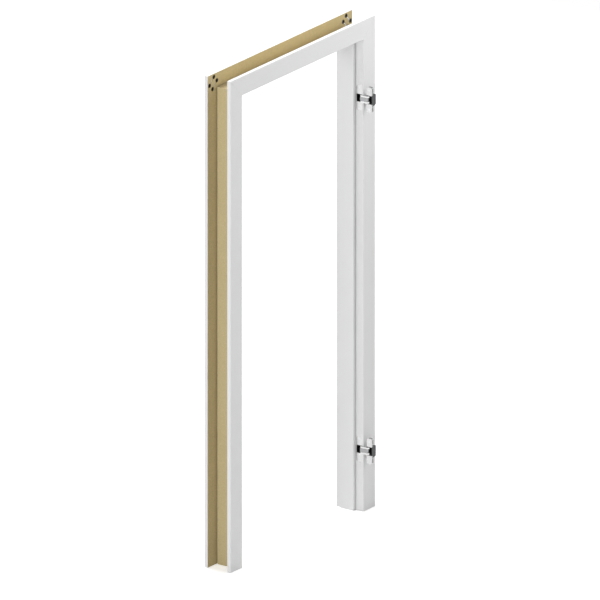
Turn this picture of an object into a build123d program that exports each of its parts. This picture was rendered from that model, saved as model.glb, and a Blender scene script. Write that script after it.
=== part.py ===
from build123d import *
from math import atan2, cos, degrees, hypot, pi, radians, sin, sqrt
import os

# Adjustable door frame, in millimetres, +Z up.
# X runs from the left outer edge to the right, Y from the finished front wall
# face into the wall, Z from the finished floor.

# Opening
clear_width = 850.0
clear_height = 2030.0

# Front casing
casing_width = 82.0
casing_thickness = 16.0
arris_radius = 1.5

# Jamb: a rebated board that lines the wall
jamb_depth = 92.0
jamb_board = 22.0
rebate_depth = 40.0
stop_step = 14.0
stop_radius = 2.0
joint_tongue_width = 8.0
joint_tongue_length = 6.0
joint_clearance = 0.2

# Rear casing, which slides in the groove of the jamb
rear_casing_width = 89.0
rear_tongue_thickness = 10.0
rear_tongue_length = 46.0
rear_tongue_chamfer = 1.5
adjust_gap = 6.0
groove_clearance = 0.5
groove_spare = 8.0

# Rebate seal
seal_width = 8.2
seal_height = 3.6
seal_wall = 1.1
seal_base = 1.4
seal_inset = 0.4
barb_width = 2.6
barb_depth = 6.0
seal_slot_clearance = 0.2

# Mitre connectors, two across each corner
connector_distances = (40.3, 69.0)
connector_half_spacing = 21.0
connector_hole_radius = 7.5
connector_hole_depth = 11.0
connector_channel_width = 7.0
connector_channel_depth = 8.5

# Concealed hinges on the right jamb
lower_hinge_height = 265.0
upper_hinge_drop = 255.0
half_gap = 2.5
pocket_front = 8.2
pocket_back = 33.8
pocket_height = 33.5
pocket_depth = 25.3
cup_wall = 1.2
cup_end_wall = 1.75
plate_length = 113.0
plate_rim = 1.7
plate_thickness = 2.5
plate_corner = 12.0
plate_screw_z = 44.0
screw_radius = 2.5
screw_head_radius = 4.6
screw_taper = 40.0
lug_reach = 50.0
lug_depth = 9.0
lug_inset = 2.0
recess_clearance = 0.2

# Hinge arms, drawn with the door closed; x from the middle of the gap, y from the front face
arm_pivot = (15.0, 12.0)
centre_pin = (0.0, 29.0)
axis_line_y = -4.0
pivot_radius = 2.0
pin_clearance = 0.05
fork_inner = 8.5
fork_plate = 7.0
link_height = 15.0
tail_bar_radius = 2.0
guide_clearance = 0.3
guide_steps = 4
end_clearance = 0.15

# Door side of the hinge
wing_length = 36.0
wing_thickness = 11.0
wing_width = 25.0
wing_corner = 9.0
wing_screw_z = 41.0
housing_front_height = 51.0
housing_back_height = 43.0

# Worked out sizes
frame_width = clear_width + 2 * casing_width
frame_height = clear_height + casing_width
front_face = -casing_thickness
stop_face_y = front_face + rebate_depth
rear_wall_face = jamb_depth + adjust_gap
jamb_wall_side = casing_width - jamb_board
stop_edge = casing_width + stop_step
tongue_outer = rear_casing_width - rear_tongue_thickness
tongue_end_y = rear_wall_face - rear_tongue_length
groove_bottom_y = tongue_end_y - groove_spare
rebate_x = frame_width - casing_width
hinge_heights = {"lower": lower_hinge_height, "upper": clear_height - upper_hinge_drop}


# Outlines across a leg: u from the outer edge inwards, y into the wall
def front_casing_outline():
    with BuildSketch() as outline:
        with BuildLine():
            Polyline((0, front_face), (casing_width, front_face), (casing_width, 0), (0, 0), close=True)
        make_face()
        fillet(outline.vertices().group_by(Axis.Y)[0], arris_radius)
        with Locations((jamb_wall_side, 0)):
            Rectangle(
                joint_tongue_width + 2 * joint_clearance,
                2 * (joint_tongue_length + joint_clearance),
                align=(Align.MIN, Align.CENTER),
                mode=Mode.SUBTRACT,
            )
    return outline.sketch


def jamb_outline():
    tongue_outer_side = jamb_wall_side + joint_clearance
    tongue_inner_side = tongue_outer_side + joint_tongue_width
    slot_start = casing_width + seal_inset + (seal_width - barb_width) / 2 - seal_slot_clearance
    slot_width = barb_width + 2 * seal_slot_clearance
    with BuildSketch() as outline:
        with BuildLine():
            Polyline(
                (jamb_wall_side, 0),
                (tongue_outer_side, 0),
                (tongue_outer_side, -joint_tongue_length),
                (tongue_inner_side, -joint_tongue_length),
                (tongue_inner_side, 0),
                (casing_width, 0),
                (casing_width, stop_face_y),
                (stop_edge, stop_face_y),
                (stop_edge, jamb_depth),
                (jamb_wall_side, jamb_depth),
                close=True,
            )
        make_face()
        fillet(outline.vertices().group_by(Axis.X)[-1], stop_radius)
        with Locations((tongue_outer - groove_clearance, groove_bottom_y)):
            Rectangle(
                rear_tongue_thickness + 2 * groove_clearance,
                jamb_depth,
                align=(Align.MIN, Align.MIN),
                mode=Mode.SUBTRACT,
            )
        with Locations((slot_start, stop_face_y)):
            Rectangle(
                slot_width,
                2 * (barb_depth + seal_slot_clearance),
                align=(Align.MIN, Align.CENTER),
                mode=Mode.SUBTRACT,
            )
    return outline.sketch


def rear_casing_outline():
    back_face = rear_wall_face + casing_thickness
    with BuildSketch() as outline:
        with BuildLine():
            Polyline(
                (0, rear_wall_face),
                (tongue_outer, rear_wall_face),
                (tongue_outer, tongue_end_y),
                (rear_casing_width, tongue_end_y),
                (rear_casing_width, back_face),
                (0, back_face),
                close=True,
            )
        make_face()
        fillet(outline.vertices().group_by(Axis.Y)[-1], arris_radius)
        chamfer(outline.vertices().group_by(Axis.Y)[0], rear_tongue_chamfer)
    return outline.sketch


def seal_outline():
    middle = casing_width + seal_inset + seal_width / 2
    with BuildSketch() as outline:
        with BuildLine():
            left = (middle - seal_width / 2, stop_face_y - seal_base)
            right = (middle + seal_width / 2, stop_face_y - seal_base)
            Polyline(left, (left[0], stop_face_y), (right[0], stop_face_y), right)
            ThreePointArc(right, (middle, stop_face_y - seal_height), left)
        make_face()
        with Locations((middle, stop_face_y)):
            Rectangle(barb_width, barb_depth, align=(Align.CENTER, Align.MIN))
        with BuildLine():
            hollow_left = (middle - seal_width / 2 + 2 * seal_wall, stop_face_y - seal_base)
            hollow_right = (middle + seal_width / 2 - 2 * seal_wall, stop_face_y - seal_base)
            Line(hollow_left, hollow_right)
            ThreePointArc(hollow_right, (middle, stop_face_y - seal_height + seal_wall), hollow_left)
        make_face(mode=Mode.SUBTRACT)
    return outline.sketch


# Legs and heads share an outline and meet in a mitre at the outer top corners
left_mitre = Plane(origin=(0, 0, frame_height), z_dir=(1, 0, 1))
right_mitre = Plane(origin=(frame_width, 0, frame_height), z_dir=(-1, 0, 1))
head_plane = Plane(origin=(0, 0, frame_height), x_dir=(0, 0, -1), z_dir=(1, 0, 0))
centre_plane = Plane.YZ.offset(frame_width / 2)


def left_leg(outline):
    with BuildPart() as leg:
        with BuildSketch(Plane.XY):
            add(outline)
        extrude(amount=frame_height)
        split(bisect_by=left_mitre, keep=Keep.BOTTOM)
    return leg.part


def head(outline):
    with BuildPart() as beam:
        with BuildSketch(head_plane):
            add(outline)
        extrude(amount=frame_width)
        split(bisect_by=left_mitre, keep=Keep.TOP)
        split(bisect_by=right_mitre, keep=Keep.TOP)
    return beam.part


# Pockets of the mitre connectors: two drilled holes joined by a channel for the bolt across the joint
def connector_centre(distance):
    along = distance / sqrt(2)
    return (along, frame_height - along)


def connector_pockets(face_y, direction):
    plane = Plane(origin=(0, face_y, 0), x_dir=(1, 0, 0), z_dir=(0, -1, 0))
    with BuildPart() as pockets:
        for distance in connector_distances:
            centre = connector_centre(distance)
            with BuildSketch(plane):
                with Locations(Location((centre[0], centre[1], 0), (0, 0, 45))):
                    with Locations((-connector_half_spacing, 0), (connector_half_spacing, 0)):
                        Circle(connector_hole_radius)
            extrude(amount=direction * connector_hole_depth)
            with BuildSketch(plane):
                with Locations(Location((centre[0], centre[1], 0), (0, 0, 45))):
                    Rectangle(2 * connector_half_spacing, connector_channel_width)
            extrude(amount=direction * connector_channel_depth)
    return pockets.part


# Hinge frames: x into the jamb from the middle of the gap, y from the front face, z from the hinge centre
def hinge_origin(height):
    return (rebate_x - half_gap, front_face, height)


def hinge_plane(height, z=0.0):
    x, y, level = hinge_origin(height)
    return Plane(origin=(x, y, level + z), x_dir=(1, 0, 0), z_dir=(0, 0, 1))


def face_plane(height, depth=0.0):
    x, y, level = hinge_origin(height)
    centre_y = y + (pocket_front + pocket_back) / 2
    return Plane(origin=(x + half_gap + depth, centre_y, level), x_dir=(0, 1, 0), z_dir=(1, 0, 0))


def door_mirror():
    return Plane.XZ.offset(-(front_face + axis_line_y))


pocket_width = pocket_back - pocket_front
plate_width = pocket_width + 2 * plate_rim
cup_width = pocket_width + 2 * cup_wall
cup_height = pocket_height + 2 * cup_end_wall
cup_depth = pocket_depth + cup_wall
pin_end = cup_height / 2 - end_clearance


# Arm outline with the door closed: x, y and half width of each point along it
arm_points = (
    (arm_pivot[0], arm_pivot[1], 2.9),
    (17.4, 16.0, 2.7),
    (17.4, 22.5, 2.7),
    (13.4, 28.6, 2.7),
    (centre_pin[0], centre_pin[1], 3.0),
    (-15.5, 29.6, 2.7),
    (-22.0, 24.0, 2.4),
    (-22.8, 13.5, 2.0),
)
arm_tail = arm_points[-1][:2]
pivot_reach = hypot(arm_pivot[0] - centre_pin[0], centre_pin[1] - arm_pivot[1])
centre_open_x = arm_pivot[0] - sqrt(pivot_reach**2 - (arm_pivot[1] - axis_line_y) ** 2)
angle_closed = atan2(centre_pin[1] - arm_pivot[1], centre_pin[0] - arm_pivot[0])
angle_open = atan2(axis_line_y - arm_pivot[1], centre_open_x - arm_pivot[0]) + 2 * pi
arm_swing = degrees(angle_open - angle_closed)


def turn_about_origin(point, angle):
    x, y = point
    return (x * cos(angle) - y * sin(angle), x * sin(angle) + y * cos(angle))


def tail_place(opened):
    """Place of the door arm's tail in the frame, from 0 closed to 1 open."""
    pin_angle = angle_closed + opened * (angle_open - angle_closed)
    pin = (arm_pivot[0] + pivot_reach * cos(pin_angle), arm_pivot[1] + pivot_reach * sin(pin_angle))
    tail = (centre_pin[0] - arm_tail[0], arm_tail[1] - centre_pin[1])
    turned = turn_about_origin(tail, opened * radians(180 - arm_swing))
    return (pin[0] + turned[0], pin[1] + turned[1])


def hinge_recess(height):
    with BuildPart() as recess:
        with BuildSketch(face_plane(height)):
            RectangleRounded(plate_width + recess_clearance, plate_length + recess_clearance, plate_corner)
        extrude(amount=plate_thickness)
        with BuildSketch(face_plane(height)):
            Rectangle(cup_width + recess_clearance, cup_height + recess_clearance)
        extrude(amount=cup_depth + recess_clearance)
        with BuildSketch(face_plane(height)):
            Rectangle(cup_width - 2 * lug_inset + recess_clearance, 2 * lug_reach + recess_clearance)
        extrude(amount=plate_thickness + lug_depth + recess_clearance)
    return recess.part


def frame_plate(height):
    with BuildPart() as plate:
        with BuildSketch(face_plane(height)):
            RectangleRounded(plate_width, plate_length, plate_corner)
            Rectangle(pocket_width, pocket_height, mode=Mode.SUBTRACT)
        extrude(amount=plate_thickness)
        with BuildSketch(face_plane(height)):
            with Locations((0, plate_screw_z), (0, -plate_screw_z)):
                Circle(screw_head_radius)
        extrude(amount=plate_thickness, taper=screw_taper, mode=Mode.SUBTRACT)
    return plate.part


def guide_slot(height):
    """Slot that the tail bar of the other side's arm follows as the hinge opens."""
    places = [tail_place(step / guide_steps) for step in range(guide_steps + 1)]
    with BuildPart() as slot:
        with BuildSketch(hinge_plane(height, -cup_height)):
            for start, stop in zip(places, places[1:]):
                with BuildSketch(mode=Mode.PRIVATE) as ends:
                    with Locations(start, stop):
                        Circle(tail_bar_radius + guide_clearance)
                make_hull(ends.sketch.edges())
        extrude(amount=2 * cup_height)
    return slot.part


def frame_cup(height):
    with BuildPart() as cup:
        with BuildSketch(face_plane(height, plate_thickness)):
            Rectangle(cup_width, cup_height)
        extrude(amount=cup_depth - plate_thickness)
        with BuildSketch(face_plane(height, plate_thickness)):
            Rectangle(cup_width - 2 * lug_inset, 2 * lug_reach)
        extrude(amount=lug_depth)
        with BuildSketch(face_plane(height, plate_thickness)):
            Rectangle(pocket_width, pocket_height)
        extrude(amount=pocket_depth - plate_thickness, mode=Mode.SUBTRACT)
        add(guide_slot(height), mode=Mode.SUBTRACT)
        for side in (-1, 1):
            with BuildSketch(hinge_plane(height, side * fork_inner)):
                with Locations(arm_pivot):
                    Circle(pivot_radius)
            extrude(amount=side * (pin_end - fork_inner))
    return cup.part


def arm_plane(height, z):
    """Plane at the frame pivot, turned so that closed coordinates land in the open pose."""
    x, y, level = hinge_origin(height)
    turn = radians(arm_swing)
    origin = (x + arm_pivot[0], y + arm_pivot[1], level + z)
    return Plane(origin=origin, x_dir=(cos(turn), sin(turn), 0), z_dir=(0, 0, 1))


def from_pivot(point):
    return (point[0] - arm_pivot[0], point[1] - arm_pivot[1])


def arm_outline():
    with BuildSketch() as outline:
        for start, stop in zip(arm_points, arm_points[1:]):
            with BuildSketch(mode=Mode.PRIVATE) as ends:
                with Locations(from_pivot(start)):
                    Circle(start[2])
                with Locations(from_pivot(stop)):
                    Circle(stop[2])
            make_hull(ends.sketch.edges())
    return outline.sketch


def turned_hole(place):
    """A running hole for a pin, at a place of the arm's outline."""
    with BuildSketch() as hole:
        with Locations(from_pivot(place)):
            Circle(pivot_radius + pin_clearance)
    return hole.sketch


def arm_bar(height, place, radius, reach):
    """A round bar through an arm, along its pivots, at a place of its outline."""
    with BuildPart() as bar:
        with BuildSketch(arm_plane(height, -reach)):
            with Locations(from_pivot(place)):
                Circle(radius)
        extrude(amount=2 * reach)
    return bar.part


def fork_arm(height):
    with BuildPart() as arm:
        for side in (-1, 1):
            with BuildSketch(arm_plane(height, side * fork_inner)):
                add(arm_outline())
                add(turned_hole(arm_pivot), mode=Mode.SUBTRACT)
            extrude(amount=side * fork_plate)
            with BuildSketch(arm_plane(height, side * fork_inner)):
                with Locations(from_pivot(arm_tail)):
                    Circle(tail_bar_radius)
            extrude(amount=side * (pin_end - fork_inner))
        add(arm_bar(height, centre_pin, pivot_radius, fork_inner + fork_plate))
    return arm.part


def link_arm(height):
    with BuildPart() as half:
        with BuildSketch(arm_plane(height, -link_height / 2)):
            add(arm_outline())
            add(turned_hole(arm_pivot), mode=Mode.SUBTRACT)
            add(turned_hole(centre_pin), mode=Mode.SUBTRACT)
        extrude(amount=link_height)
        add(arm_bar(height, arm_tail, tail_bar_radius, pin_end))
    with BuildPart() as arm:
        mirror(half.part, about=door_mirror())
    return arm.part


def door_wings(height):
    wing_centre = pocket_height / 2 + cup_end_wall + wing_length / 2
    with BuildPart() as half:
        for side in (-1, 1):
            with BuildSketch(face_plane(height)) as wing:
                with Locations((0, side * wing_centre)):
                    Rectangle(wing_width, wing_length)
                fillet(wing.vertices().sort_by(Axis.Y, reverse=side > 0)[:2], wing_corner)
                with Locations((0, side * wing_screw_z)):
                    Circle(screw_radius, mode=Mode.SUBTRACT)
            extrude(amount=wing_thickness)
    with BuildPart() as wings:
        mirror(half.part, about=door_mirror())
    return wings.part


def door_housing(height):
    with BuildPart() as half:
        with BuildSketch(face_plane(height)):
            Rectangle(cup_width, cup_height)
        extrude(amount=wing_thickness)
        with BuildSketch(face_plane(height, wing_thickness)):
            Rectangle(cup_width, housing_front_height)
        with BuildSketch(face_plane(height, cup_depth)):
            Rectangle(cup_width, housing_back_height)
        loft()
        with BuildSketch(face_plane(height)):
            Rectangle(pocket_width, pocket_height)
        extrude(amount=pocket_depth, mode=Mode.SUBTRACT)
        add(guide_slot(height), mode=Mode.SUBTRACT)
        with BuildSketch(hinge_plane(height, -pin_end)):
            with Locations(arm_pivot):
                Circle(pivot_radius)
        extrude(amount=2 * pin_end)
    with BuildPart() as housing:
        mirror(half.part, about=door_mirror())
    return housing.part


def export(piece, label):
    piece.part.label = label
    export_step(piece.part, f"parts/{label}.step")


os.makedirs("parts", exist_ok=True)

# Front casing, mitred, with its connector pockets on the wall side
front_pockets = connector_pockets(0, 1)
for label, blank in (("left", left_leg(front_casing_outline())), ("head", head(front_casing_outline()))):
    with BuildPart() as front_casing:
        add(blank)
        add(front_pockets, mode=Mode.SUBTRACT)
        if label == "head":
            mirror(front_pockets, about=centre_plane, mode=Mode.SUBTRACT)
    export(front_casing, f"front_casing_{label}")

with BuildPart() as front_casing_right:
    mirror(left_leg(front_casing_outline()), about=centre_plane)
    mirror(front_pockets, about=centre_plane, mode=Mode.SUBTRACT)
    for height in hinge_heights.values():
        add(hinge_recess(height), mode=Mode.SUBTRACT)
export(front_casing_right, "front_casing_right")

# Rear casing
rear_pockets = connector_pockets(rear_wall_face, -1)
for label, blank in (("left", left_leg(rear_casing_outline())), ("head", head(rear_casing_outline()))):
    with BuildPart() as rear_casing:
        add(blank)
        add(rear_pockets, mode=Mode.SUBTRACT)
        if label == "head":
            mirror(rear_pockets, about=centre_plane, mode=Mode.SUBTRACT)
    export(rear_casing, f"rear_casing_{label}")
    if label == "left":
        rear_casing_left = rear_casing

with BuildPart() as rear_casing_right:
    mirror(rear_casing_left.part, about=centre_plane)
export(rear_casing_right, "rear_casing_right")

# Jambs
with BuildPart() as jamb_left:
    add(left_leg(jamb_outline()))
export(jamb_left, "jamb_left")

with BuildPart() as jamb_head:
    add(head(jamb_outline()))
export(jamb_head, "jamb_head")

with BuildPart() as jamb_right:
    mirror(jamb_left.part, about=centre_plane)
    for height in hinge_heights.values():
        add(hinge_recess(height), mode=Mode.SUBTRACT)
export(jamb_right, "jamb_right")

# Seals
with BuildPart() as seal_left:
    add(left_leg(seal_outline()))
export(seal_left, "seal_left")

with BuildPart() as seal_head:
    add(head(seal_outline()))
export(seal_head, "seal_head")

with BuildPart() as seal_right:
    mirror(seal_left.part, about=centre_plane)
export(seal_right, "seal_right")

# Hinges
hinge_pieces = {
    "frame_plate": frame_plate,
    "frame_cup": frame_cup,
    "fork_arm": fork_arm,
    "link_arm": link_arm,
    "door_wings": door_wings,
    "door_housing": door_housing,
}
for hinge, height in hinge_heights.items():
    for label, make in hinge_pieces.items():
        with BuildPart() as piece:
            add(make(height))
        export(piece, f"{hinge}_hinge_{label}")
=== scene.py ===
from math import cos, pi, radians, sin, sqrt

import bmesh
import bpy
from mathutils import Matrix, Vector


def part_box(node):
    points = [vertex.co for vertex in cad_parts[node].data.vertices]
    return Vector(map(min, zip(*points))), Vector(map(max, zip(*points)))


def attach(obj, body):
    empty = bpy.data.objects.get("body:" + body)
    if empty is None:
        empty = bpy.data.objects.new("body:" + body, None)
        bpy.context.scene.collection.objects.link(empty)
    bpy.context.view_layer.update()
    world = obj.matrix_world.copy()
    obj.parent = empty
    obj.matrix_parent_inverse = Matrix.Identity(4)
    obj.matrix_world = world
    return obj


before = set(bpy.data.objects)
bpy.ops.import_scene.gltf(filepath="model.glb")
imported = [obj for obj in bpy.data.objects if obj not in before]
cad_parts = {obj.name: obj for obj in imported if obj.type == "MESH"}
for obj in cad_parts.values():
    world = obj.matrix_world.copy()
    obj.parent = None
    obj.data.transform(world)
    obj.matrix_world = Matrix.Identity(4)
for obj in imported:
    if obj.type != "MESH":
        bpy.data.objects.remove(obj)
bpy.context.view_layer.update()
scene = bpy.context.scene

# Adjustable door frame, in metres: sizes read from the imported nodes
casing_low, casing_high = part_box("front_casing_left")
rear_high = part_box("rear_casing_left")[1]
jamb_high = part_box("jamb_left")[1]
front_face = casing_low[1]
rear_face = rear_high[1]
casing_width = casing_high[0]
rear_width = rear_high[0]
stop_edge = jamb_high[0]
jamb_end = jamb_high[1]
frame_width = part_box("front_casing_right")[1][0]
frame_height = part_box("front_casing_head")[1][2]
wing_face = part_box("upper_hinge_door_wings")[0][0]

# Sizes that the nodes don't give by themselves
casing_thickness = casing_high[1] - front_face
rear_wall_face = rear_face - casing_thickness
rebate_depth = 0.040
stop_face = front_face + rebate_depth
stop_round = 0.0021
arris = 0.0016
film = 0.0004
mitre_line = 0.00025
wing_plate = 0.0008

# Finishes, as linear colours
film_white = (0.80, 0.80, 0.80, 1)
film_shade = (0.775, 0.775, 0.78, 1)
joint_shadow = (0.45, 0.44, 0.43, 1)
board_raw = (0.64, 0.54, 0.315, 1)
board_fibre = (0.46, 0.385, 0.215, 1)
seal_grey = (0.62, 0.62, 0.62, 1)
seal_dark = (0.54, 0.54, 0.545, 1)
# Painted shade: the darker grey for the sides, ends and back of the hinge wings
wing_painted_shade_pale = (0.27, 0.27, 0.27, 1)
wing_painted_shade_dark = (0.21, 0.21, 0.212, 1)
floor_white = (0.8, 0.8, 0.8, 1)
full_white = (1, 1, 1, 1)
nickel = (0.60, 0.60, 0.60)
polished = (0.62, 0.62, 0.62)
# Link arm steel, darkened as painted shade where it lies between the fork plates
link_steel_painted_shade = (0.33, 0.33, 0.335)
zinc = (0.66, 0.67, 0.68)
cast_grey = (0.055, 0.056, 0.058)
# Frame cup: near-black, partly its dark cast colour and partly painted shade for the deep pocket
cup_black_painted_shade = (0.006, 0.006, 0.006)
# Mitre cams: near-black, partly their own dark colour and partly painted shade for the drilled holes
cam_black_painted_shade = (0.006, 0.006, 0.006)

# Grain of the finishes: how many features there are in a metre
cloud_scale = 7.0
fibre_scale = 1100.0
fleck_scale = 260.0
lacquer_scale = 420.0
rubber_cloud_scale = 45.0
rubber_skin_scale = 1500.0
brushed_scale = 600.0
pore_scale = 1300.0
brushed_along_z = (1, 1, 25)

# Camera: a parallel projection that matches the photograph
photo_width = 600.0
metres_per_pixel = 0.00406
turned_right = radians(54.6)
looking_down = radians(19.2)
foot_x_pixel = 230.5
foot_y_pixel = 573.2
camera_distance = 6.0
camera_reach = 50


def set_camera():
    right = Vector((cos(turned_right), -sin(turned_right), 0))
    level = Vector((sin(turned_right), cos(turned_right), 0))
    up = level * sin(looking_down) + Vector((0, 0, cos(looking_down)))
    towards_camera = right.cross(up)
    foot = Vector((casing_low[0], front_face, 0))
    across = (photo_width / 2 - foot_x_pixel) * metres_per_pixel
    above = (foot_y_pixel - photo_width / 2) * metres_per_pixel
    middle = foot + right * across + up * above
    data = bpy.data.cameras.new("photo_camera")
    data.type = "ORTHO"
    data.ortho_scale = photo_width * metres_per_pixel
    data.clip_end = camera_reach
    camera = bpy.data.objects.new("photo_camera", data)
    turned = Matrix((right, up, towards_camera)).transposed().to_4x4()
    camera.matrix_world = Matrix.Translation(middle + towards_camera * camera_distance) @ turned
    scene.collection.objects.link(camera)
    scene.camera = camera


class Paint:
    """A node material for one finish, built up from small steps."""

    def __init__(self, name):
        self.material = bpy.data.materials.new(name)
        self.material.use_nodes = True
        self.tree = self.material.node_tree
        self.shader = self.tree.nodes["Principled BSDF"]
        self.place = self.tree.nodes.new("ShaderNodeTexCoord").outputs["Object"]

    def node(self, kind, **settings):
        made = self.tree.nodes.new(kind)
        for key, value in settings.items():
            setattr(made, key, value)
        return made

    def feed(self, socket, value):
        if isinstance(value, bpy.types.NodeSocket):
            self.tree.links.new(value, socket)
        else:
            socket.default_value = value

    def maths(self, operation, *values):
        made = self.node("ShaderNodeMath", operation=operation)
        for socket, value in zip(made.inputs, values):
            self.feed(socket, value)
        return made.outputs[0]

    def mix(self, share, first, second):
        made = self.node("ShaderNodeMix", data_type="RGBA")
        share_socket, first_socket, second_socket = (made.inputs[number] for number in (0, 6, 7))
        self.feed(share_socket, share)
        self.feed(first_socket, first)
        self.feed(second_socket, second)
        return made.outputs[2]

    def noise(self, scale, detail=3.0, stretch=(1, 1, 1)):
        mapping = self.node("ShaderNodeMapping")
        mapping.inputs["Scale"].default_value = stretch
        self.feed(mapping.inputs["Vector"], self.place)
        made = self.node("ShaderNodeTexNoise")
        made.inputs["Scale"].default_value = scale
        made.inputs["Detail"].default_value = detail
        self.feed(made.inputs["Vector"], mapping.outputs[0])
        return made.outputs[0]

    def spread(self, value, low, high, start=0.0, end=1.0):
        made = self.node("ShaderNodeMapRange")
        self.feed(made.inputs["Value"], value)
        made.inputs["From Min"].default_value = start
        made.inputs["From Max"].default_value = end
        made.inputs["To Min"].default_value = low
        made.inputs["To Max"].default_value = high
        return made.outputs["Result"]

    def axes(self):
        made = self.node("ShaderNodeSeparateXYZ")
        self.feed(made.inputs[0], self.place)
        return made.outputs

    def surface(self, colour, roughness, metallic=0.0, specular=0.5):
        self.feed(self.shader.inputs["Base Color"], colour)
        self.feed(self.shader.inputs["Roughness"], roughness)
        self.shader.inputs["Metallic"].default_value = metallic
        self.shader.inputs["Specular IOR Level"].default_value = specular

    def bump(self, height, strength, distance):
        made = self.node("ShaderNodeBump")
        made.inputs["Strength"].default_value = strength
        made.inputs["Distance"].default_value = distance
        self.feed(made.inputs["Height"], height)
        self.feed(self.shader.inputs["Normal"], made.outputs["Normal"])


def finish_nodes(paint, *names):
    for name in names:
        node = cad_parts[name]
        node.data.materials.clear()
        node.data.materials.append(paint.material)


# Coated boards: a white film where the frame shows in the room, raw board on the wall side
def board_axes(paint, side):
    """Distances from the outer edge inwards, from the front into the wall, and from the mitre."""
    x, y, z = paint.axes()
    from_side = paint.maths("MINIMUM", x, paint.maths("SUBTRACT", frame_width, x))
    from_top = paint.maths("SUBTRACT", frame_height, z)
    inwards, other = (from_top, from_side) if side == "head" else (from_side, from_top)
    off_mitre = paint.maths("ABSOLUTE", paint.maths("SUBTRACT", inwards, other))
    return inwards, y, off_mitre


def any_of(paint, *masks):
    shared = masks[0]
    for mask in masks[1:]:
        shared = paint.maths("MAXIMUM", shared, mask)
    return shared


def front_casing_film(paint, inwards, depth):
    outer_edge = paint.maths("LESS_THAN", inwards, film)
    inner_edge = paint.maths("GREATER_THAN", inwards, casing_width - film)
    face = paint.maths("LESS_THAN", depth, front_face + arris)
    return any_of(paint, outer_edge, inner_edge, face)


def rear_casing_film(paint, inwards, depth):
    outer_edge = paint.maths("LESS_THAN", inwards, film)
    inner_edge = paint.maths("GREATER_THAN", inwards, rear_width - film)
    face = paint.maths("GREATER_THAN", depth, rear_face - arris)
    return any_of(paint, outer_edge, inner_edge, face)


def jamb_film(paint, inwards, depth):
    passage_side = paint.maths("GREATER_THAN", inwards, stop_edge - stop_round)
    rebate_side = paint.maths("GREATER_THAN", inwards, casing_width - film)
    before_stop = paint.maths("LESS_THAN", depth, stop_face + film)
    beside_tongue = paint.maths("GREATER_THAN", inwards, rear_width)
    rear_end = paint.maths("GREATER_THAN", depth, jamb_end - film)
    return any_of(
        paint,
        passage_side,
        paint.maths("MULTIPLY", rebate_side, before_stop),
        paint.maths("MULTIPLY", beside_tongue, rear_end),
    )


def coated_board(name, side, film_rule):
    paint = Paint(name)
    inwards, depth, off_mitre = board_axes(paint, side)
    coated = film_rule(paint, inwards, depth)
    cloud = paint.noise(cloud_scale)
    fibre = paint.noise(fibre_scale, 5.0)
    flecks = paint.noise(fleck_scale, 2.0)
    fibre_tone = paint.spread(paint.maths("ADD", fibre, flecks), 0.0, 0.7, 0.7, 1.3)
    raw_tone = paint.maths("ADD", paint.maths("MULTIPLY", cloud, 0.3), fibre_tone)
    raw = paint.mix(raw_tone, board_raw, board_fibre)
    white = paint.mix(cloud, film_white, film_shade)
    clean = paint.mix(coated, raw, white)
    in_joint = paint.maths("MULTIPLY", paint.maths("LESS_THAN", off_mitre, mitre_line), 0.8)
    roughness = paint.maths("SUBTRACT", 0.9, paint.maths("MULTIPLY", coated, 0.5))
    paint.surface(paint.mix(in_joint, clean, joint_shadow), roughness, specular=0.2)
    uncoated = paint.maths("SUBTRACT", 1.0, coated)
    lacquer = paint.noise(lacquer_scale, 2.0)
    height = paint.maths(
        "ADD",
        paint.maths("MULTIPLY", uncoated, paint.maths("ADD", fibre, flecks)),
        paint.maths("MULTIPLY", coated, paint.maths("MULTIPLY", lacquer, 0.15)),
    )
    paint.bump(height, 0.3, 0.0002)
    return paint


def finish_boards():
    rules = {"front_casing": front_casing_film, "jamb": jamb_film, "rear_casing": rear_casing_film}
    for board, film_rule in rules.items():
        for side in ("left", "right", "head"):
            name = f"{board}_{side}"
            finish_nodes(coated_board(f"{name}_finish", side, film_rule), name)


# Rubber, metals and dark parts
def seal_rubber():
    paint = Paint("grey_seal_rubber")
    paint.surface(paint.mix(paint.noise(rubber_cloud_scale), seal_grey, seal_dark), 0.6, specular=0.3)
    paint.bump(paint.noise(rubber_skin_scale, 2.0), 0.2, 0.0001)
    return paint


def lit(colour, factor):
    return (*(min(1.0, part * factor) for part in colour), 1)


def metal(name, colour, roughness):
    paint = Paint(name)
    brushed = paint.noise(brushed_scale, 3.0, brushed_along_z)
    tone = paint.mix(brushed, lit(colour, 1.06), lit(colour, 0.92))
    paint.surface(tone, paint.spread(brushed, roughness - 0.07, roughness + 0.07), metallic=1.0)
    paint.bump(brushed, 0.1, 0.00004)
    return paint


def dark_casting(name, colour, roughness):
    paint = Paint(name)
    pores = paint.noise(pore_scale, 4.0)
    paint.surface(paint.mix(pores, lit(colour, 0.8), lit(colour, 1.3)), roughness, metallic=0.2)
    paint.bump(pores, 0.3, 0.0001)
    return paint


def wing_metal():
    """A thin bright plate on the face of the wings; their sides, ends and back are painted a darker grey
    as painted shade.
    """
    paint = Paint("door_wing_metal_and_painted_shade")
    x = paint.axes()[0]
    plate = paint.maths("LESS_THAN", x, wing_face + wing_plate)
    brushed = paint.noise(brushed_scale, 3.0, brushed_along_z)
    bright = paint.mix(brushed, lit(nickel, 1.06), lit(nickel, 0.94))
    # Painted shade: everything but the thin face plate gets the darker grey
    body = paint.mix(brushed, wing_painted_shade_pale, wing_painted_shade_dark)
    paint.surface(paint.mix(plate, body, bright), paint.spread(brushed, 0.32, 0.46), metallic=0.85)
    paint.bump(brushed, 0.1, 0.00004)
    return paint


hinges = ("lower_hinge", "upper_hinge")


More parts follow.
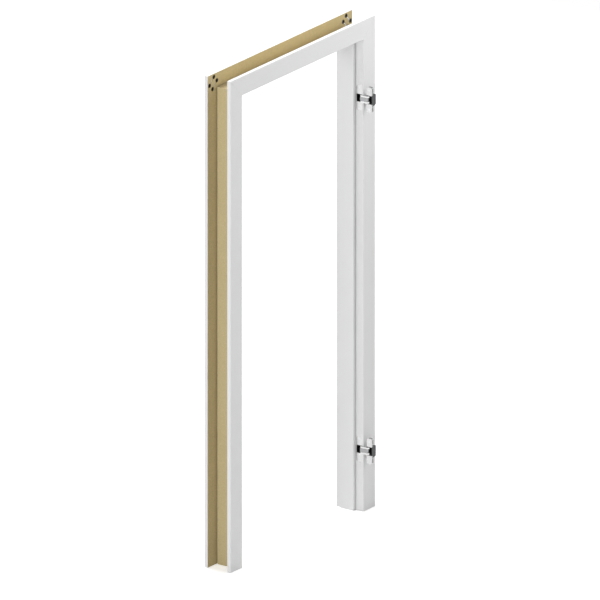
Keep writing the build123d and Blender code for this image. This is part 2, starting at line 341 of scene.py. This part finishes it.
def finish_hinges():
    finishes = {
        "frame_plate": metal("frame_plate_finish", nickel, 0.38),
        "fork_arm": metal("fork_arm_finish", polished, 0.25),
        # The link arm's darker steel is partly painted shade between the fork plates
        "link_arm": metal("link_arm_painted_shade", link_steel_painted_shade, 0.35),
        "door_wings": wing_metal(),
        "door_housing": dark_casting("door_housing_finish", cast_grey, 0.5),
        # The frame cup's near-black is partly painted shade inside the hinge pocket
        "frame_cup": dark_casting("frame_cup_painted_shade", cup_black_painted_shade, 0.7),
    }
    for hinge in hinges:
        for piece, paint in finishes.items():
            finish_nodes(paint, f"{hinge}_{piece}")


# New pieces: a mesh made in place, riding on a body
flat_enough = 0.99


def new_piece(name, shape, body, paint):
    bmesh.ops.recalc_face_normals(shape, faces=shape.faces)
    mesh = bpy.data.meshes.new(name)
    shape.to_mesh(mesh)
    shape.free()
    mesh.materials.append(paint.material)
    piece = bpy.data.objects.new(name, mesh)
    scene.collection.objects.link(piece)
    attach(piece, body)


def facing(centre, outwards):
    """A matrix that stands a shape's z axis along outwards, at the centre."""
    return Matrix.Translation(centre) @ outwards.to_track_quat("Z", "Y").to_matrix().to_4x4()


def faces_towards(verts, direction):
    faces = {face for vert in verts for face in vert.link_faces}
    for face in faces:
        face.normal_update()
    return [face for face in faces if face.normal.dot(direction) > flat_enough]


def turned_shape(shape, top_centre, outwards, low_radius, high_radius, length, facets):
    """A round shape that ends at top_centre. Gives its vertices."""
    cone = bmesh.ops.create_cone(
        shape,
        cap_ends=True,
        segments=facets,
        radius1=low_radius,
        radius2=high_radius,
        depth=length,
        matrix=facing(top_centre - outwards * length / 2, outwards),
    )
    return cone["verts"]


def pulled_face(shape, face):
    """The same face again, joined to its old edges by a wall."""
    return bmesh.ops.extrude_discrete_faces(shape, faces=[face])["faces"][0]


def sink_recess(shape, face, outwards, middle, depth, narrowing):
    """Pushes one face in and narrows it, for a drive recess."""
    for vert in pulled_face(shape, face).verts:
        vert.co = middle + (vert.co - middle) * narrowing - outwards * depth


# Countersunk screws with a crossed recess
screw_facets = 32
screw_head_radius = 0.0044
screw_shank_radius = 0.0023
screw_head_height = 0.0022
cross_land = 0.3
cross_reach = 0.62
cross_waist = 0.30
cross_depth = 0.0012
cross_narrowing = 0.55
frame_shank = 0.018
door_shank = 0.006


def countersunk_screw(shape, centre, outwards, shank):
    head = turned_shape(
        shape, centre, outwards, screw_shank_radius, screw_head_radius, screw_head_height, screw_facets
    )
    under = faces_towards(head, -outwards)[0]
    bmesh.ops.translate(shape, verts=pulled_face(shape, under).verts[:], vec=-outwards * shank)
    top = faces_towards(head, outwards)
    bmesh.ops.inset_region(shape, faces=top, thickness=screw_head_radius * cross_land)
    cross = top[0]
    for number, vert in enumerate(cross.verts):
        lobe = abs(cos(4 * pi * number / len(cross.verts)))
        reach = screw_head_radius * (cross_waist + (cross_reach - cross_waist) * lobe**3)
        vert.co = centre + (vert.co - centre).normalized() * reach
    sink_recess(shape, cross, outwards, centre, cross_depth, cross_narrowing)


# Small adjusting screws: sizes in metres, then shares of the screw's radius
socket_facets = 24
socket_screw_length = 0.004
socket_rim_rise = 0.0002
adjuster_radius = 0.0024
side_screw_radius = 0.0019
socket_rim = 0.12
socket_wall = 0.3
socket_depth = 0.9
socket_narrowing = 0.85


def socket_screw(shape, centre, outwards, radius):
    """A flat-ended screw with a round socket."""
    body = turned_shape(shape, centre, outwards, radius, radius, socket_screw_length, socket_facets)
    top = faces_towards(body, outwards)
    bmesh.ops.inset_region(shape, faces=top, thickness=radius * socket_rim, depth=socket_rim_rise)
    bmesh.ops.inset_region(shape, faces=top, thickness=radius * socket_wall)
    sink_recess(shape, top[0], outwards, centre, radius * socket_depth, socket_narrowing)


plate_screw_reach = 0.044
wing_screw_reach = 0.041
side_screw_reach = (0.030, 0.050)
adjuster_reach = 0.024
proud = 0.0001


def add_hinge_screws(steel):
    leaf_edge = Vector((-1, 0, 0))
    room = Vector((0, -1, 0))
    for hinge in hinges:
        plate_low, plate_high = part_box(f"{hinge}_frame_plate")
        wing_low, wing_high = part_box(f"{hinge}_door_wings")
        plate = (plate_low + plate_high) / 2
        wing = (wing_low + wing_high) / 2
        frame_screws = bmesh.new()
        door_screws = bmesh.new()
        adjusters = bmesh.new()
        side_screws = bmesh.new()
        for side in (-1, 1):
            place = Vector((plate_low[0] - proud, plate[1], plate[2] + side * plate_screw_reach))
            countersunk_screw(frame_screws, place, leaf_edge, frame_shank)
            place = Vector((plate_low[0] - proud, plate[1], plate[2] + side * adjuster_reach))
            socket_screw(adjusters, place, leaf_edge, adjuster_radius)
            place = Vector((wing_low[0] - proud, wing[1], wing[2] + side * wing_screw_reach))
            countersunk_screw(door_screws, place, leaf_edge, door_shank)
            for reach in side_screw_reach:
                place = Vector((wing[0], wing_low[1] - proud, wing[2] + side * reach))
                socket_screw(side_screws, place, room, side_screw_radius)
        new_piece(f"{hinge}_frame_screws", frame_screws, "frame", steel)
        new_piece(f"{hinge}_adjusting_screws", adjusters, "frame", steel)
        new_piece(f"{hinge}_door_screws", door_screws, f"{hinge}_door_side", steel)
        new_piece(f"{hinge}_side_screws", side_screws, f"{hinge}_door_side", steel)


# Mitre connectors: two dark cams in the drilled holes, drawn together by a threaded bolt. The cams'
# near-black is partly painted shade, for the dark of the deep holes.
connector_distances = (0.0403, 0.069)
connector_half_spacing = 0.021
hole_depth = 0.011
hole_spare = 0.0003
cam_facets = 40
cam_radius = 0.0074
collar_radius = 0.0090
collar_height = 0.0006
collar_gap = 0.0001
collar_edge = 0.0008
collar_edge_rise = 0.0002
drive_wall = 0.0040
drive_depth = 0.004
drive_narrowing = 0.9
bolt_facets = 16
bolt_radius = 0.003
bolt_depth = 0.0036
bolt_entry = 0.8
thread_pitch = 0.001
thread_root = 0.84
merge_distance = 0.00001


def connector_places(side):
    """Centre of each connector and the direction of its bolt across the mitre."""
    for distance in connector_distances:
        along = distance / sqrt(2)
        x = along if side == "left" else frame_width - along
        slope = 1 if side == "left" else -1
        yield Vector((x, 0, frame_height - along)), Vector((slope, 0, 1)).normalized()


def add_cam(shape, centre, outwards):
    """A cam in its hole: a collar on the board's face, and a drive recess in its top."""
    seat = centre + outwards * collar_gap
    cam = turned_shape(shape, seat, outwards, cam_radius, cam_radius, hole_depth - hole_spare, cam_facets)
    rim = pulled_face(shape, faces_towards(cam, outwards)[0])
    for vert in rim.verts:
        vert.co = seat + (vert.co - seat) * (collar_radius / cam_radius)
    raised = pulled_face(shape, rim)
    bmesh.ops.translate(shape, verts=raised.verts[:], vec=outwards * collar_height)
    bmesh.ops.inset_region(shape, faces=[raised], thickness=collar_edge, depth=collar_edge_rise)
    bmesh.ops.inset_region(shape, faces=[raised], thickness=drive_wall)
    sink_recess(shape, raised, outwards, seat, drive_depth, drive_narrowing)


def add_threaded_bolt(shape, centre, along):
    """A rod whose thread is a row of ridges, spun round its axis."""
    reach = connector_half_spacing - cam_radius * bolt_entry
    turns = int(2 * reach / thread_pitch)
    side = along.cross(Vector((0, 1, 0))).normalized()
    start = centre - along * reach
    profile = [shape.verts.new(start)]
    for step in range(2 * turns + 1):
        radius = bolt_radius if step % 2 == 0 else bolt_radius * thread_root
        profile.append(shape.verts.new(start + along * step * thread_pitch / 2 + side * radius))
    profile.append(shape.verts.new(start + along * turns * thread_pitch))
    edges = [shape.edges.new(pair) for pair in zip(profile, profile[1:])]
    bmesh.ops.spin(
        shape,
        geom=profile + edges,
        cent=centre,
        axis=along,
        angle=2 * pi,
        steps=bolt_facets,
        use_merge=True,
    )
    bmesh.ops.remove_doubles(shape, verts=shape.verts, dist=merge_distance)


def add_connectors(steel, cam_shade_paint):
    faces = {
        "front": (0.0, Vector((0, 1, 0)), "frame"),
        "rear": (rear_wall_face, Vector((0, -1, 0)), "rear_casing"),
    }
    for casing, (face_y, outwards, body) in faces.items():
        for side in ("left", "right"):
            bolts = bmesh.new()
            cams = bmesh.new()
            for centre, along in connector_places(side):
                centre.y = face_y
                add_threaded_bolt(bolts, centre - outwards * bolt_depth, along)
                for end in (-1, 1):
                    add_cam(cams, centre + along * end * connector_half_spacing, outwards)
            new_piece(f"{casing}_mitre_bolts_{side}", bolts, body, steel)
            new_piece(f"{casing}_mitre_cams_{side}", cams, body, cam_shade_paint)


# Floor, backdrop and lamps: each lamp has a place, a power in watts and a size
floor_half = 6.0
floor_drop = 0.0005
floor_glow_near = 0.30
floor_glow_far = 1.0
floor_glow_reach = 2.2
world_level = 0.311
lamps = {
    "left_lamp": ((-4.0, -1.2, 2.6), 110, 2.5),
    "top_lamp": ((0.6, 1.8, 4.8), 145, 2.0),
    "right_lamp": ((1.7, -1.7, 3.0), 28.6, 1.5),
}


def floor_distance(paint):
    """How far a point of the floor is from the frame, as a share of the glow's reach."""
    x, y, _ = paint.axes()
    across = paint.maths("SUBTRACT", x, frame_width / 2)
    squares = paint.maths("ADD", paint.maths("MULTIPLY", across, across), paint.maths("MULTIPLY", y, y))
    return paint.maths("DIVIDE", paint.maths("SQRT", squares), floor_glow_reach)


def floor_paint():
    paint = Paint("pale_floor")
    paint.surface(floor_white, 0.9, specular=0.0)
    path = paint.node("ShaderNodeLightPath").outputs
    seen = paint.maths("MAXIMUM", path["Is Camera Ray"], path["Is Glossy Ray"])
    glow = paint.spread(floor_distance(paint), floor_glow_near, floor_glow_far)
    paint.shader.inputs["Emission Color"].default_value = full_white
    paint.feed(paint.shader.inputs["Emission Strength"], paint.maths("MULTIPLY", seen, glow))
    return paint


def set_floor():
    shape = bmesh.new()
    bmesh.ops.create_grid(shape, x_segments=1, y_segments=1, size=floor_half)
    bmesh.ops.translate(shape, verts=shape.verts, vec=(frame_width / 2, 0, -floor_drop))
    mesh = bpy.data.meshes.new("floor")
    shape.to_mesh(mesh)
    shape.free()
    mesh.materials.append(floor_paint().material)
    floor = bpy.data.objects.new("floor", mesh)
    scene.collection.objects.link(floor)


def set_world():
    world = bpy.data.worlds.new("studio")
    world.use_nodes = True
    tree = world.node_tree
    path = tree.nodes.new("ShaderNodeLightPath")
    seen = tree.nodes.new("ShaderNodeMath")
    seen.operation = "MAXIMUM"
    tree.links.new(path.outputs["Is Camera Ray"], seen.inputs[0])
    tree.links.new(path.outputs["Is Glossy Ray"], seen.inputs[1])
    level = tree.nodes.new("ShaderNodeMapRange")
    level.inputs["To Min"].default_value = world_level
    level.inputs["To Max"].default_value = 1.0
    tree.links.new(seen.outputs[0], level.inputs["Value"])
    sky = tree.nodes["Background"]
    sky.inputs["Color"].default_value = full_white
    tree.links.new(level.outputs["Result"], sky.inputs["Strength"])
    scene.world = world


def set_lamps():
    middle = Vector((frame_width / 2, 0, frame_height / 2))
    for name, (place, power, size) in lamps.items():
        data = bpy.data.lights.new(name, "AREA")
        data.shape = "DISK"
        data.size = size
        data.energy = power
        lamp = bpy.data.objects.new(name, data)
        turned = (middle - Vector(place)).to_track_quat("-Z", "Y").to_matrix().to_4x4()
        lamp.matrix_world = Matrix.Translation(place) @ turned
        scene.collection.objects.link(lamp)


scene.view_settings.view_transform = "Standard"
set_camera()
finish_boards()
finish_nodes(seal_rubber(), "seal_left", "seal_right", "seal_head")
zinc_steel = metal("zinc_steel_finish", zinc, 0.3)
# The cams' black is partly painted shade for the drilled holes
cam_painted_shade_paint = dark_casting("mitre_cam_painted_shade", cam_black_painted_shade, 0.5)
finish_hinges()
add_hinge_screws(zinc_steel)
add_connectors(zinc_steel, cam_painted_shade_paint)
set_world()
set_floor()
set_lamps()
